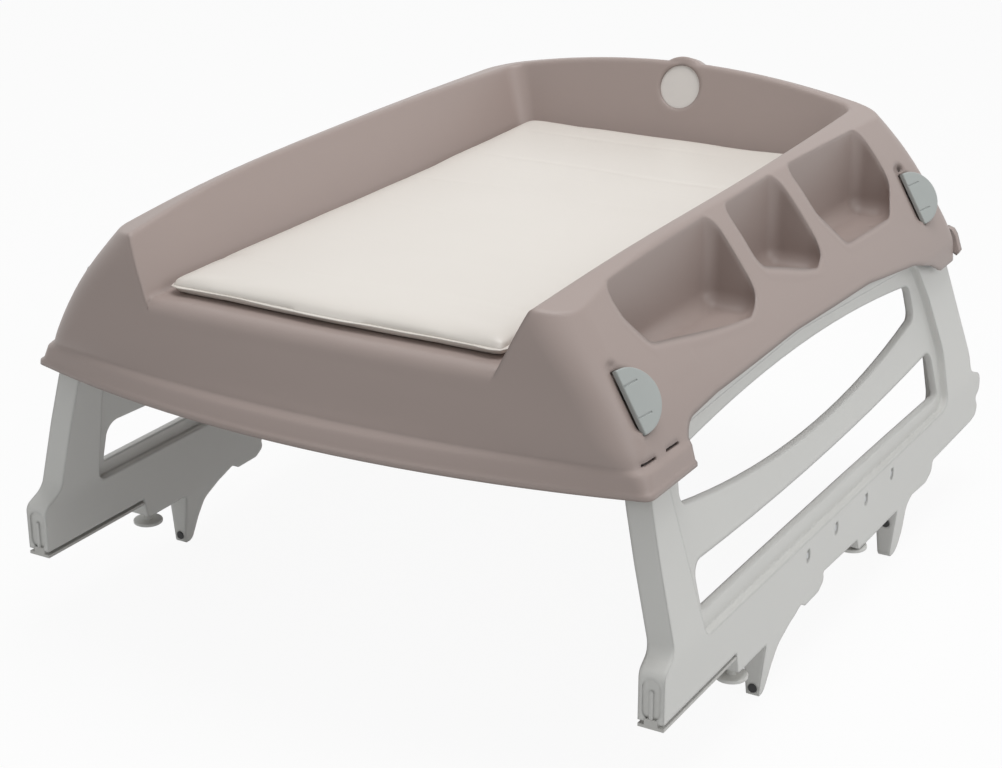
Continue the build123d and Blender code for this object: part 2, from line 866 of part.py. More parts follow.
def make_leg():
    with BuildPart() as leg:
        add(ring_body())
        add(web_body())
        add(toe_recess(), mode=Mode.SUBTRACT)
        for end in hinge_shares:
            with BuildSketch(Plane.XZ.offset(-hinge_y(end) - ear_width / 2 - ear_gap)):
                with Locations((axis_x, axis_z)):
                    Circle(notch_radius)
            extrude(amount=ear_width + 2 * ear_gap, mode=Mode.SUBTRACT)
            start = hinge_y(end) - bore_side[end] * (pin_length / 2 + ear_gap)
            with BuildSketch(Plane.XZ.offset(-start)):
                with Locations((axis_x, axis_z)):
                    Circle(pin_radius + run_gap)
            extrude(amount=-bore_side[end] * (pin_length + 2 * overrun), mode=Mode.SUBTRACT)
        with BuildSketch(Plane.YZ.offset(leg_foot_x + half_leg - dimple_depth)):
            with Locations(*[(leg_y(share), stiffener_z) for share in dimple_shares]):
                SlotOverall(dimple_height, dimple_width, rotation=90)
        extrude(amount=overrun, mode=Mode.SUBTRACT)
        with BuildSketch(Plane.YZ.offset(leg_foot_x + half_leg - dimple_depth)):
            with Locations(*[(leg_y(share), stiffener_z) for share in dimple_shares]):
                Circle(rail_screw_radius)
        extrude(amount=-rail_screw_length, mode=Mode.SUBTRACT)
        with BuildSketch(Plane.YZ.offset(leg_foot_x - stiffener_thickness / 2 - run_gap)):
            with Locations((stiffener_y, stiffener_z - overrun / 2)):
                Rectangle(stiffener_length + 2 * run_gap, stiffener_height + overrun)
        extrude(amount=stiffener_thickness + 2 * run_gap, mode=Mode.SUBTRACT)
        with BuildSketch(Plane.XY.offset(plate_bottom_z)):
            with Locations(*foot_spots()):
                Circle(insert_radius)
        extrude(amount=insert_height, mode=Mode.SUBTRACT)
        with BuildSketch(Plane.XY.offset(plate_bottom_z)):
            with Locations(*foot_spots()):
                Circle(foot_shank_radius + run_gap)
        extrude(amount=foot_shank_length, mode=Mode.SUBTRACT)
        for y, z in hook_plug_places().values():
            with BuildSketch(Plane.XZ.offset(-y)):
                with Locations((leg_foot_x, z)):
                    Circle(plug_radius)
            extrude(amount=-plug_length, mode=Mode.SUBTRACT)
        with BuildSketch(Plane.XY.offset(plate_toe_z)):
            with Locations((leg_foot_x, toe_y + strip_length / 2)):
                Rectangle(strip_neck + 2 * run_gap, strip_length)
        extrude(amount=strip_neck_height + run_gap, mode=Mode.SUBTRACT)
        with BuildSketch(Plane.XY.offset(plate_toe_z)):
            with Locations(*strip_screw_places()):
                Circle(strip_screw_radius)
        extrude(amount=strip_screw_length, mode=Mode.SUBTRACT)
    return leg.part


# The mat: a thin welded cushion, loose on the floor of the well. Each station
# holds shares of its length, thickness and half width.
mat_half_width = 199.0
mat_length = 748.0
mat_start = 67.0
mat_thickness = 17.0
mat_crown = 3.0
mat_hem_share = 0.40
mat_shoulder_share = 0.86
mat_under = 5.0
mat_over = 12.0
mat_lift = 100.0
mat_station_shares = (
    (0.000, 0.24, 0.985),
    (0.010, 0.66, 0.996),
    (0.030, 0.92, 1.000),
    (0.090, 1.00, 1.000),
    (0.350, 1.00, 1.000),
    (0.650, 1.00, 1.000),
    (0.910, 1.00, 1.000),
    (0.970, 0.92, 1.000),
    (0.990, 0.66, 0.996),
    (1.000, 0.24, 0.985),
)


def mat_section(place, thickness_share, width_share):
    y = shell_y + mat_start + place * mat_length
    base_z = floor_at(y) + lie_gap
    height = mat_thickness * thickness_share
    half = mat_half_width * width_share
    under = half - mat_under * thickness_share
    over = half - mat_over * thickness_share
    hem_z = base_z + mat_hem_share * height
    shoulder_z = base_z + mat_shoulder_share * height
    top_z = base_z + height + mat_crown * thickness_share
    with BuildSketch(Plane.XZ.offset(-y)) as section:
        with BuildLine():
            Line((-under, base_z), (under, base_z))
            ThreePointArc((under, base_z), (half, hem_z), (over, shoulder_z))
            ThreePointArc((over, shoulder_z), (0, top_z), (-over, shoulder_z))
            ThreePointArc((-over, shoulder_z), (-half, hem_z), (-under, base_z))
        make_face()
    return section.sketch


def make_mat():
    with BuildPart() as mat:
        for place, thickness_share, width_share in mat_station_shares:
            add(mat_section(place, thickness_share, width_share))
        loft(ruled=True)
    return mat.part


def make_badge():
    with BuildPart() as badge:
        with BuildSketch(badge_plane().offset(-badge_thickness + run_gap)):
            Circle(badge_radius)
        extrude(amount=badge_thickness)
        fillet(badge.edges().filter_by(GeomType.CIRCLE).sort_by(Axis.Z)[-1], badge_thickness / 4)
    return badge.part


# Release button with its stem. The face climbs from the straight edge to the
# round one, a little hollow, and carries two short grooves.
groove_width = 1.6
groove_depth = 0.8
hollow_share = 0.42
clip_seat_radius = 3.6

middle_height = button_low + hollow_share * (button_high - button_low)
cup_end = seat_depth + cup_depth


def side_view(plane, shift):
    across = plane.y_dir * shift
    return Plane(origin=plane.origin + across, x_dir=plane.x_dir, z_dir=-plane.y_dir)


def make_button(end):
    plane = button_plane(end)
    with BuildPart() as button:
        with BuildSketch(plane.offset(-button_sunk)):
            add(button_outline())
        extrude(amount=button_sunk + 2 * button_high)
        with BuildSketch(side_view(plane, button_length)):
            with BuildLine():
                low = (0, button_low)
                high = (button_depth, button_high)
                ThreePointArc(low, (button_depth / 2, middle_height), high)
                Polyline(
                    high,
                    (button_depth + overrun, button_high),
                    (button_depth + overrun, overrun),
                    (-overrun, overrun),
                    (-overrun, button_low),
                    low,
                )
            make_face()
        extrude(amount=2 * button_length, mode=Mode.SUBTRACT)
        face = button.faces().sort_by(Axis(plane.origin, plane.z_dir))[-1]
        fillet(face.edges(), button_edge_round)
        for place in (button_length / 4, -button_length / 4):
            with BuildSketch(side_view(plane, place + groove_width / 2)):
                with BuildLine():
                    Polyline(
                        (-overrun, button_low - groove_depth),
                        (0, button_low - groove_depth),
                        (button_depth / 2, middle_height - groove_depth),
                        (button_depth / 2, overrun),
                        (-overrun, overrun),
                        (-overrun, button_low - groove_depth),
                    )
                make_face()
            extrude(amount=groove_width, mode=Mode.SUBTRACT)
        with BuildSketch(plane.offset(-button_sunk)):
            with Locations(stem_place()):
                Circle(stem_radius)
        extrude(amount=-stem_length)
        with BuildSketch(plane.offset(-cup_end)):
            with Locations(stem_place()):
                Circle(stem_radius)
                Circle(clip_seat_radius, mode=Mode.SUBTRACT)
        extrude(amount=-(clip_thickness + 2 * run_gap), mode=Mode.SUBTRACT)
    return button.part


# The clip under the guide keeps the button from being pushed out.
clip_gap = 5.0


def make_clip(end):
    plane = button_plane(end)
    with BuildPart() as clip:
        with BuildSketch(plane.offset(-cup_end - run_gap)):
            with Locations(stem_place()):
                Circle(clip_radius)
                Circle(clip_seat_radius + run_gap, mode=Mode.SUBTRACT)
            with Locations((stem_across + clip_radius, stem_up)):
                Rectangle(2 * clip_radius, clip_gap, mode=Mode.SUBTRACT)
        extrude(amount=-clip_thickness)
    return clip.part


# The guide cup is screwed under the pan and holds the spring and the stem.
guide_screw_radius = 1.3
guide_screw_head = 2.4
guide_screw_head_height = 1.6
guide_screw_length = 4.2
guide_screw_ring = 13.2


def guide_screw_places():
    return [(stem_across - guide_screw_ring, stem_up), (stem_across + guide_screw_ring, stem_up)]


def make_guide(end):
    plane = button_plane(end).offset(-seat_depth)
    with BuildPart() as guide:
        with BuildSketch(plane):
            with Locations(stem_place()):
                Circle(cup_flange_radius)
        extrude(amount=-cup_flange)
        with BuildSketch(plane):
            with Locations(stem_place()):
                Circle(cup_radius)
        extrude(amount=-cup_depth)
        with BuildSketch(plane):
            with Locations(stem_place()):
                Circle(cup_bore)
        extrude(amount=cup_floor - cup_depth, mode=Mode.SUBTRACT)
        with BuildSketch(plane):
            with Locations(stem_place()):
                Circle(stem_radius + run_gap)
        extrude(amount=-cup_depth, mode=Mode.SUBTRACT)
        with BuildSketch(plane):
            with Locations(*guide_screw_places()):
                Circle(guide_screw_radius)
        extrude(amount=-cup_flange, mode=Mode.SUBTRACT)
    return guide.part


def make_guide_screws(end):
    plane = button_plane(end).offset(-seat_depth - cup_flange)
    with BuildPart() as screws:
        with BuildSketch(plane):
            with Locations(*guide_screw_places()):
                Circle(guide_screw_head)
        extrude(amount=-guide_screw_head_height)
        with BuildSketch(plane):
            with Locations(*guide_screw_places()):
                Circle(guide_screw_radius)
        extrude(amount=guide_screw_length)
    return screws.part


def guide_screw_holes(end):
    with BuildPart() as holes:
        with BuildSketch(button_plane(end).offset(-seat_depth)):
            with Locations(*guide_screw_places()):
                Circle(guide_screw_radius)
        extrude(amount=guide_screw_length - cup_flange)
    return holes.part


# A compression spring stands between the cap and the bottom of the cup.
def spring_reach():
    low = -(seat_depth + cup_depth - cup_floor) + spring_wire / 2 + run_gap
    high = -button_sunk - spring_wire / 2 - run_gap
    return low, high


def make_spring_path():
    low, high = spring_reach()
    with BuildLine() as path:
        Helix(pitch=(high - low) / spring_turns, height=high - low, radius=spring_radius)
    return path.line


def make_spring(end):
    path = make_spring_path()
    with BuildPart() as coil:
        with BuildSketch(Plane(origin=path @ 0, z_dir=path % 0)):
            Circle(spring_wire / 2)
        sweep(path=path, is_frenet=True)
    place = button_plane(end).location * Location((stem_across, stem_up, spring_reach()[0]))
    return coil.part.moved(place)


# Least gap between the turns of the spring, measured on points along it
def spring_gap():
    path = make_spring_path()
    steps = spring_steps_each_turn * spring_turns
    points = [path @ (step / steps) for step in range(steps + 1)]
    apart = [
        (points[later] - points[first]).length
        for first in range(steps + 1)
        for later in range(first + spring_steps_each_turn // 2, steps + 1)
    ]
    return min(apart) - spring_wire


# Hinge bracket: a plate under the shell with one ear round the pin
def bracket_screw_places(side, end):
    middle = hinge_y(end)
    x = bracket_middle(side)
    return [(x, middle - screw_spacing / 2), (x, middle + screw_spacing / 2)]


def make_bracket(side, end):
    with BuildPart() as bracket:
        with BuildSketch(Plane.XY.offset(plate_z)):
            with Locations((bracket_middle(side), hinge_y(end))):
                RectangleRounded(bracket_width, bracket_length, ear_gap * bracket_plate)
        extrude(amount=bracket_plate)
        with BuildSketch(Plane.XZ.offset(-hinge_y(end) - ear_width / 2)):
            with Locations((side * axis_x, axis_z)):
                Circle(ear_radius)
            with BuildLine():
                Polyline(
                    (side * (axis_x + ear_radius), axis_z),
                    (side * (axis_x - bracket_shift + bracket_width / 2), plate_z),
                    (side * (axis_x - ear_radius), plate_z),
                    (side * (axis_x - ear_radius), axis_z),
                    (side * (axis_x + ear_radius), axis_z),
                )
            make_face()
        extrude(amount=ear_width)
        with BuildSketch(Plane.XZ.offset(-hinge_y(end) - ear_width / 2)):
            with Locations((side * axis_x, axis_z)):
                Circle(pin_radius + run_gap)
        extrude(amount=ear_width, mode=Mode.SUBTRACT)
        with BuildSketch(Plane.XY.offset(plate_z)):
            with Locations(*bracket_screw_places(side, end)):
                Circle(bracket_screw_radius)
        extrude(amount=bracket_plate, mode=Mode.SUBTRACT)
    return bracket.part


def bracket_screw_holes():
    with BuildPart() as holes:
        for side in sides.values():
            for end in hinge_shares:
                with BuildSketch(Plane.XY.offset(seat_z)):
                    with Locations(*bracket_screw_places(side, end)):
                        Circle(bracket_screw_radius)
                extrude(amount=bracket_screw_length - bracket_plate)
    return holes.part


def make_bracket_screws():
    with BuildPart() as screws:
        for side in sides.values():
            for end in hinge_shares:
                with BuildSketch(Plane.XY.offset(plate_z - bracket_screw_head_height)):
                    with Locations(*bracket_screw_places(side, end)):
                        Circle(bracket_screw_head)
                extrude(amount=bracket_screw_head_height)
                with BuildSketch(Plane.XY.offset(plate_z)):
                    with Locations(*bracket_screw_places(side, end)):
                        Circle(bracket_screw_radius)
                extrude(amount=bracket_screw_length)
    return screws.part


def make_hinge_pins():
    with BuildPart() as pins:
        for side in sides.values():
            for end in hinge_shares:
                with BuildSketch(Plane.XZ.offset(-hinge_y(end) - pin_length / 2)):
                    with Locations((side * axis_x, axis_z)):
                        Circle(pin_radius)
                extrude(amount=pin_length)
    return pins.part


# Rubber foot strip: a flange under the front of the panel, with a neck that
# sits in a groove of it
def make_foot_strip():
    base_z = leg_z(0)
    with BuildPart() as strip:
        with BuildSketch(Plane.XY.offset(base_z)):
            with Locations((leg_foot_x, toe_y + strip_length / 2)):
                Rectangle(leg_thickness, strip_length)
        extrude(amount=strip_height)
        with BuildSketch(Plane.XY.offset(base_z + strip_height)):
            with Locations((leg_foot_x, toe_y + strip_length / 2)):
                Rectangle(strip_neck, strip_length)
        extrude(amount=plate_toe_z - base_z - strip_height + strip_neck_height)
        with BuildSketch(Plane.XY.offset(base_z)):
            with Locations(*strip_screw_places()):
                Circle(strip_screw_head)
        extrude(amount=strip_screw_head_height, mode=Mode.SUBTRACT)
        with BuildSketch(Plane.XY.offset(base_z)):
            with Locations(*strip_screw_places()):
                Circle(strip_screw_radius)
        extrude(amount=overrun, mode=Mode.SUBTRACT)
    return strip.part


def make_strip_screws():
    base_z = leg_z(0)
    with BuildPart() as screws:
        with BuildSketch(Plane.XY.offset(base_z)):
            with Locations(*strip_screw_places()):
                Circle(strip_screw_head)
        extrude(amount=strip_screw_head_height)
        with BuildSketch(Plane.XY.offset(base_z + strip_screw_head_height)):
            with Locations(*strip_screw_places()):
                Circle(strip_screw_radius)
        extrude(amount=strip_screw_length)
    return screws.part


# Stiffener bar inside the lower rail, held by four screws
def make_stiffener():
    with BuildPart() as bar:
        with BuildSketch(Plane.YZ.offset(leg_foot_x - stiffener_thickness / 2)):
            with Locations((stiffener_y, stiffener_z)):
                Rectangle(stiffener_length, stiffener_height)
            with Locations(*[(leg_y(share), stiffener_z) for share in dimple_shares]):
                Circle(rail_screw_radius, mode=Mode.SUBTRACT)
        extrude(amount=stiffener_thickness)
    return bar.part


def make_rail_screws():
    face_x = leg_foot_x + half_leg - dimple_depth
    with BuildPart() as screws:
        with BuildSketch(Plane.YZ.offset(face_x)):
            with Locations(*[(leg_y(share), stiffener_z) for share in dimple_shares]):
                Circle(rail_screw_head)
        extrude(amount=rail_screw_head_height)
        with BuildSketch(Plane.YZ.offset(face_x)):
            with Locations(*[(leg_y(share), stiffener_z) for share in dimple_shares]):
                Circle(rail_screw_radius)
        extrude(amount=-rail_screw_length)
    return screws.part


# Levelling foot: threaded stud in a brass insert, and a disc that turns it
foot_disc_round = 1.2
foot_play = 3.0


def make_levelling_foot(end):
    drop = foot_places[end]["drop"]
    top_z = plate_bottom_z - drop
    spot = (leg_foot_x, leg_y(foot_places[end]["share"]))
    with BuildPart() as disc:
        with BuildSketch(Plane.XY.offset(top_z - foot_disc_thickness)):
            with Locations(spot):
                Circle(foot_disc_radius)
        extrude(amount=foot_disc_thickness)
        fillet(disc.edges().filter_by(GeomType.CIRCLE), foot_disc_round)
        with BuildSketch(Plane.XY.offset(top_z)):
            with Locations(spot):
                Circle(foot_stem_radius)
        extrude(amount=drop - plate_gap)
        with BuildSketch(Plane.XY.offset(top_z)):
            with Locations(spot):
                Circle(foot_shank_radius)
        extrude(amount=drop + foot_shank_length - foot_play)
    return disc.part


def make_foot_inserts():
    with BuildPart() as inserts:
        with BuildSketch(Plane.XY.offset(plate_bottom_z)):
            with Locations(*foot_spots()):
                Circle(insert_radius)
                Circle(foot_shank_radius + run_gap, mode=Mode.SUBTRACT)
        extrude(amount=insert_height)
    return inserts.part


# Rubber plug that keeps a hook from scratching the rim it stands on
def make_hook_plug(end):
    y, z = hook_plug_places()[end]
    with BuildPart() as plug:
        with BuildSketch(Plane.XZ.offset(-y)):
            with Locations((leg_foot_x, z)):
                Circle(plug_radius)
        extrude(amount=-plug_length)
        fillet(plug.edges().filter_by(GeomType.CIRCLE).sort_by(Axis.Y)[0], plug_proud)
    return plug.part


if __name__ == "__main__":
    print("least gap between the turns of a spring", round(spring_gap(), 2), "mm")
    shell = make_shell()
    print("shell", shell.is_valid, len(shell.solids()), round(shell.volume / 1000), "cm3")
    save(shell, "table_shell")
    save(make_mat(), "changing_mat")
    save(make_badge(), "badge_disc")
    save(make_hinge_pins(), "hinge_pins")
    save(make_bracket_screws(), "bracket_screws")
    for side_name, side in sides.items():
        for end in hinge_shares:
            save(make_bracket(side, end), side_name + "_" + end + "_hinge_bracket")
    for end in button_places:
        pieces = {
            "button": make_button(end),
            "button_clip": make_clip(end),
            "button_guide": make_guide(end),
            "button_screws": make_guide_screws(end),
            "button_spring": make_spring(end),
        }
        for name, piece in pieces.items():
            print(end, name, piece.is_valid, len(piece.solids()), round(piece.volume), "mm3")
            save(piece, "right_" + end + "_" + name)
            save(mirrored(piece), "left_" + end + "_" + name)
    pieces = {
        "leg_panel": make_leg(),
        "foot_strip": make_foot_strip(),
        "strip_screws": make_strip_screws(),
        "rail_stiffener": make_stiffener(),
        "rail_screws": make_rail_screws(),
        "front_levelling_foot": make_levelling_foot("front"),
        "rear_levelling_foot": make_levelling_foot("rear"),
        "foot_inserts": make_foot_inserts(),
        "front_hook_plug": make_hook_plug("front"),
        "rear_hook_plug": make_hook_plug("rear"),
    }
    for name, piece in pieces.items():
        print(name, piece.is_valid, len(piece.solids()), round(piece.volume), "mm3")
        save(piece, "right_" + name)
        save(mirrored(piece), "left_" + name)
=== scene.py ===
import bpy
import bmesh
import json
import math
from mathutils import Matrix, Vector, noise
from mathutils.bvhtree import BVHTree


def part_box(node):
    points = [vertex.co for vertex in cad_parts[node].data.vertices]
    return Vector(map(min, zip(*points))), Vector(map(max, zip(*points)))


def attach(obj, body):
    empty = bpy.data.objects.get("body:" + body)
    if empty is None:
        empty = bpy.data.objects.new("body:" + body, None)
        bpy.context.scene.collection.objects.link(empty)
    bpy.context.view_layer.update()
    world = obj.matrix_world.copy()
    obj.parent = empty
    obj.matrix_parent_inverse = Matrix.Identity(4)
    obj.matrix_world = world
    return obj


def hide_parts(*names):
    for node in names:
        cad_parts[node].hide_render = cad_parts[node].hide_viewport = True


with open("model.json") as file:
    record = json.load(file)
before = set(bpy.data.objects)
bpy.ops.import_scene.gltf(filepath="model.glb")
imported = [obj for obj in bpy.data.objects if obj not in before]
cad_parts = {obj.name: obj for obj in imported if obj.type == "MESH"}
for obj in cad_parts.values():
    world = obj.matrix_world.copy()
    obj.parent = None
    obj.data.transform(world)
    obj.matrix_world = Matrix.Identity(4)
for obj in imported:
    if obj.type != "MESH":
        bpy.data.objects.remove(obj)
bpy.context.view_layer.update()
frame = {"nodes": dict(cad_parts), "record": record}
print("frame loaded:", len(frame["nodes"]), "nodes")


# the viewpoint, in metres, degrees and pixels
cameraView = {
    "place": (1.118, -1.9792, 1.089),
    "yaw": 30.29,
    "pitch": 21.14,
    "roll": -0.22,
    "focalPixels": 2117.3,
    "imageWidth": 1002,
    "sensorWidth": 36.0,
}


def placeCamera():
    yaw, pitch, roll = (math.radians(cameraView[turn]) for turn in ("yaw", "pitch", "roll"))
    level = math.cos(pitch)
    ahead = Vector((-math.sin(yaw) * level, math.cos(yaw) * level, -math.sin(pitch)))
    right = ahead.cross(Vector((0, 0, 1))).normalized()
    up = right.cross(ahead)
    rolledRight = right * math.cos(roll) + up * math.sin(roll)
    rolledUp = up * math.cos(roll) - right * math.sin(roll)
    turned = Matrix((rolledRight, rolledUp, -ahead)).transposed().to_4x4()
    turned.translation = Vector(cameraView["place"])
    bpy.ops.object.camera_add()
    camera = bpy.context.object
    camera.name = "photoCamera"
    camera.matrix_world = turned
    camera.data.sensor_width = cameraView["sensorWidth"]
    perPixel = cameraView["sensorWidth"] / cameraView["imageWidth"]
    camera.data.lens = cameraView["focalPixels"] * perPixel
    bpy.context.scene.camera = camera


# pale floor, even daylight and two soft lamps
studio = {
    "worldStrength": 0.47,
    "worldColour": (0.985, 1.0, 0.995, 1.0),
    "floorSize": 60.0,
    "floorColour": (0.80, 0.80, 0.80, 1.0),
    "floorGlow": 0.93,
    "lamps": (
        {
            "name": "overhead", "place": (0.3, 0.15, 3.1), "aim": (0.0, 0.0, 0.4),
            "size": 2.0, "power": 42.0,
        },
        {
            "name": "rightSide", "place": (2.9, -0.4, 1.7), "aim": (0.2, 0.0, 0.3),
            "size": 1.6, "power": 16.0,
        },
    ),
}


def lightStudio():
    world = bpy.data.worlds.new("studioWorld")
    bpy.context.scene.world = world
    world.use_nodes = True
    nodes, links = world.node_tree.nodes, world.node_tree.links
    lit = nodes["Background"]
    lit.inputs["Color"].default_value = studio["worldColour"]
    lit.inputs["Strength"].default_value = studio["worldStrength"]
    seen = nodes.new("ShaderNodeBackground")
    seen.inputs["Color"].default_value = (1, 1, 1, 1)
    mix = mixShaders(nodes, links, lit, seen, nodes["World Output"])
    links.new(seenRay(nodes, links), mix.inputs["Fac"])
    for lamp in studio["lamps"]:
        bpy.ops.object.light_add(type="AREA", location=lamp["place"])
        light = bpy.context.object
        light.name = lamp["name"]
        light.data.shape = "DISK"
        light.data.size = lamp["size"]
        light.data.energy = lamp["power"]
        aim = Vector(lamp["aim"]) - Vector(lamp["place"])
        light.rotation_euler = aim.to_track_quat("-Z", "Y").to_euler()


def seenRay(nodes, links):
    # rays that show the background: straight from the camera, mirrored, or through glass
    path = nodes.new("ShaderNodeLightPath")
    first = nodes.new("ShaderNodeMath")
    first.operation = "MAXIMUM"
    second = nodes.new("ShaderNodeMath")
    second.operation = "MAXIMUM"
    links.new(path.outputs["Is Camera Ray"], first.inputs[0])
    links.new(path.outputs["Is Glossy Ray"], first.inputs[1])
    links.new(first.outputs[0], second.inputs[0])
    links.new(path.outputs["Is Transmission Ray"], second.inputs[1])
    return second.outputs[0]


def mixShaders(nodes, links, first, second, output):
    mix = nodes.new("ShaderNodeMixShader")
    links.new(first.outputs[0], mix.inputs[1])
    links.new(second.outputs[0], mix.inputs[2])
    links.new(mix.outputs[0], output.inputs["Surface"])
    return mix


def layFloor():
    bpy.ops.mesh.primitive_plane_add(size=studio["floorSize"])
    floor = bpy.context.object
    floor.name = "studioFloor"
    material = bpy.data.materials.new("studioFloor")
    material.use_nodes = True
    nodes, links = material.node_tree.nodes, material.node_tree.links
    nodes.remove(nodes["Principled BSDF"])
    matte = nodes.new("ShaderNodeBsdfDiffuse")
    matte.inputs["Color"].default_value = studio["floorColour"]
    glow = nodes.new("ShaderNodeEmission")
    glow.inputs["Color"].default_value = (1, 1, 1, 1)
    share = nodes.new("ShaderNodeMath")
    share.operation = "MULTIPLY"
    share.inputs[1].default_value = studio["floorGlow"]
    links.new(seenRay(nodes, links), share.inputs[0])
    mix = mixShaders(nodes, links, matte, glow, nodes["Material Output"])
    links.new(share.outputs[0], mix.inputs["Fac"])
    floor.data.materials.append(material)


def newGroup(name, inputs, outputs):
    group = bpy.data.node_groups.new(name, "ShaderNodeTree")
    for socketName, kind, value in inputs:
        socket = group.interface.new_socket(name=socketName, in_out="INPUT", socket_type=kind)
        if value is not None:
            socket.default_value = value
    for socketName, kind in outputs:
        group.interface.new_socket(name=socketName, in_out="OUTPUT", socket_type=kind)
    return group, group.nodes.new("NodeGroupInput"), group.nodes.new("NodeGroupOutput")


def addNoise(group, vector, scaleFrom, detail, roughness=0.55):
    node = group.nodes.new("ShaderNodeTexNoise")
    node.inputs["Detail"].default_value = detail
    node.inputs["Roughness"].default_value = roughness
    group.links.new(vector, node.inputs["Vector"])
    if hasattr(scaleFrom, "is_output"):
        group.links.new(scaleFrom, node.inputs["Scale"])
    else:
        node.inputs["Scale"].default_value = scaleFrom
    return node


def addRange(group, value, low, high, toLow, toHigh):
    node = group.nodes.new("ShaderNodeMapRange")
    group.links.new(value, node.inputs["Value"])
    settings = (("From Min", low), ("From Max", high), ("To Min", toLow), ("To Max", toHigh))
    for socket, setting in settings:
        if hasattr(setting, "is_output"):
            group.links.new(setting, node.inputs[socket])
        else:
            node.inputs[socket].default_value = setting
    return node.outputs["Result"]


# detail that every finish shares
surface = {
    "toneDetail": 3.0,
    "fleckDetail": 2.0,
    "edgeStart": 0.995,     # how far two normals agree where wear begins
    "edgeFull": 0.90,
    "patchLow": 0.35,
    "patchHigh": 0.65,
    "patchLeast": 0.35,
    "edgeSamples": 6,
    "grainDetail": 3.0,
    "grainRoughness": 0.6,
    "rippleDetail": 1.0,
    "wanderScale": 5.0,
    "wanderDetail": 1.0,
    "foldDistance": 0.0012,
    "roundSamples": 8,
}


def buildSurfaceTone():
    # broad tone, fine fleck and rubbed edges of a moulded or painted surface
    group, given, result = newGroup(
        "surfaceTone",
        (
            ("Colour", "NodeSocketColor", (0.5, 0.5, 0.5, 1)),
            ("Worn Colour", "NodeSocketColor", (0.7, 0.7, 0.7, 1)),
            ("Tone Scale", "NodeSocketFloat", 6.0),
            ("Tone Depth", "NodeSocketFloat", 0.06),
            ("Fleck Scale", "NodeSocketFloat", 900.0),
            ("Fleck Depth", "NodeSocketFloat", 0.04),
            ("Edge Radius", "NodeSocketFloat", 0.002),
            ("Edge Wear", "NodeSocketFloat", 0.3),
            ("Roughness", "NodeSocketFloat", 0.45),
            ("Roughness Depth", "NodeSocketFloat", 0.08),
        ),
        (("Colour", "NodeSocketColor"), ("Roughness", "NodeSocketFloat")),
    )
    nodes, links = group.nodes, group.links
    place = nodes.new("ShaderNodeTexCoord").outputs["Object"]
    broad = addNoise(group, place, given.outputs["Tone Scale"], surface["toneDetail"])
    fleck = addNoise(group, place, given.outputs["Fleck Scale"], surface["fleckDetail"])

    def swing(value, depth):
        centred = nodes.new("ShaderNodeMath")
        centred.operation = "SUBTRACT"
        links.new(value, centred.inputs[0])
        centred.inputs[1].default_value = 0.5
        scaled = nodes.new("ShaderNodeMath")
        scaled.operation = "MULTIPLY"
        links.new(centred.outputs[0], scaled.inputs[0])
        links.new(depth, scaled.inputs[1])
        return scaled.outputs[0]

    total = nodes.new("ShaderNodeMath")
    total.operation = "ADD"
    links.new(swing(broad.outputs["Fac"], given.outputs["Tone Depth"]), total.inputs[0])
    links.new(swing(fleck.outputs["Fac"], given.outputs["Fleck Depth"]), total.inputs[1])
    bright = nodes.new("ShaderNodeMath")
    bright.operation = "ADD"
    links.new(total.outputs[0], bright.inputs[0])
    bright.inputs[1].default_value = 1.0
    toned = nodes.new("ShaderNodeVectorMath")
    toned.operation = "SCALE"
    links.new(given.outputs["Colour"], toned.inputs[0])
    links.new(bright.outputs[0], toned.inputs["Scale"])

    bevel = nodes.new("ShaderNodeBevel")
    bevel.samples = surface["edgeSamples"]
    links.new(given.outputs["Edge Radius"], bevel.inputs["Radius"])
    flat = nodes.new("ShaderNodeNewGeometry")
    agree = nodes.new("ShaderNodeVectorMath")
    agree.operation = "DOT_PRODUCT"
    links.new(bevel.outputs["Normal"], agree.inputs[0])
    links.new(flat.outputs["Normal"], agree.inputs[1])
    edge = addRange(group, agree.outputs["Value"], surface["edgeStart"], surface["edgeFull"], 0.0, 1.0)
    patches = surface["patchLow"], surface["patchHigh"], surface["patchLeast"]
    patchy = addRange(group, broad.outputs["Fac"], *patches, 1.0)
    worn = nodes.new("ShaderNodeMath")
    worn.operation = "MULTIPLY"
    links.new(edge, worn.inputs[0])
    links.new(patchy, worn.inputs[1])
    wear = nodes.new("ShaderNodeMath")
    wear.operation = "MULTIPLY"
    links.new(worn.outputs[0], wear.inputs[0])
    links.new(given.outputs["Edge Wear"], wear.inputs[1])
    blend = nodes.new("ShaderNodeMix")
    blend.data_type = "RGBA"
    links.new(wear.outputs[0], blend.inputs[0])
    links.new(toned.outputs[0], blend.inputs[6])
    links.new(given.outputs["Worn Colour"], blend.inputs[7])
    links.new(blend.outputs[2], result.inputs["Colour"])

    rough = nodes.new("ShaderNodeMath")
    rough.operation = "ADD"
    links.new(given.outputs["Roughness"], rough.inputs[0])
    links.new(swing(fleck.outputs["Fac"], given.outputs["Roughness Depth"]), rough.inputs[1])
    links.new(rough.outputs[0], result.inputs["Roughness"])
    return group


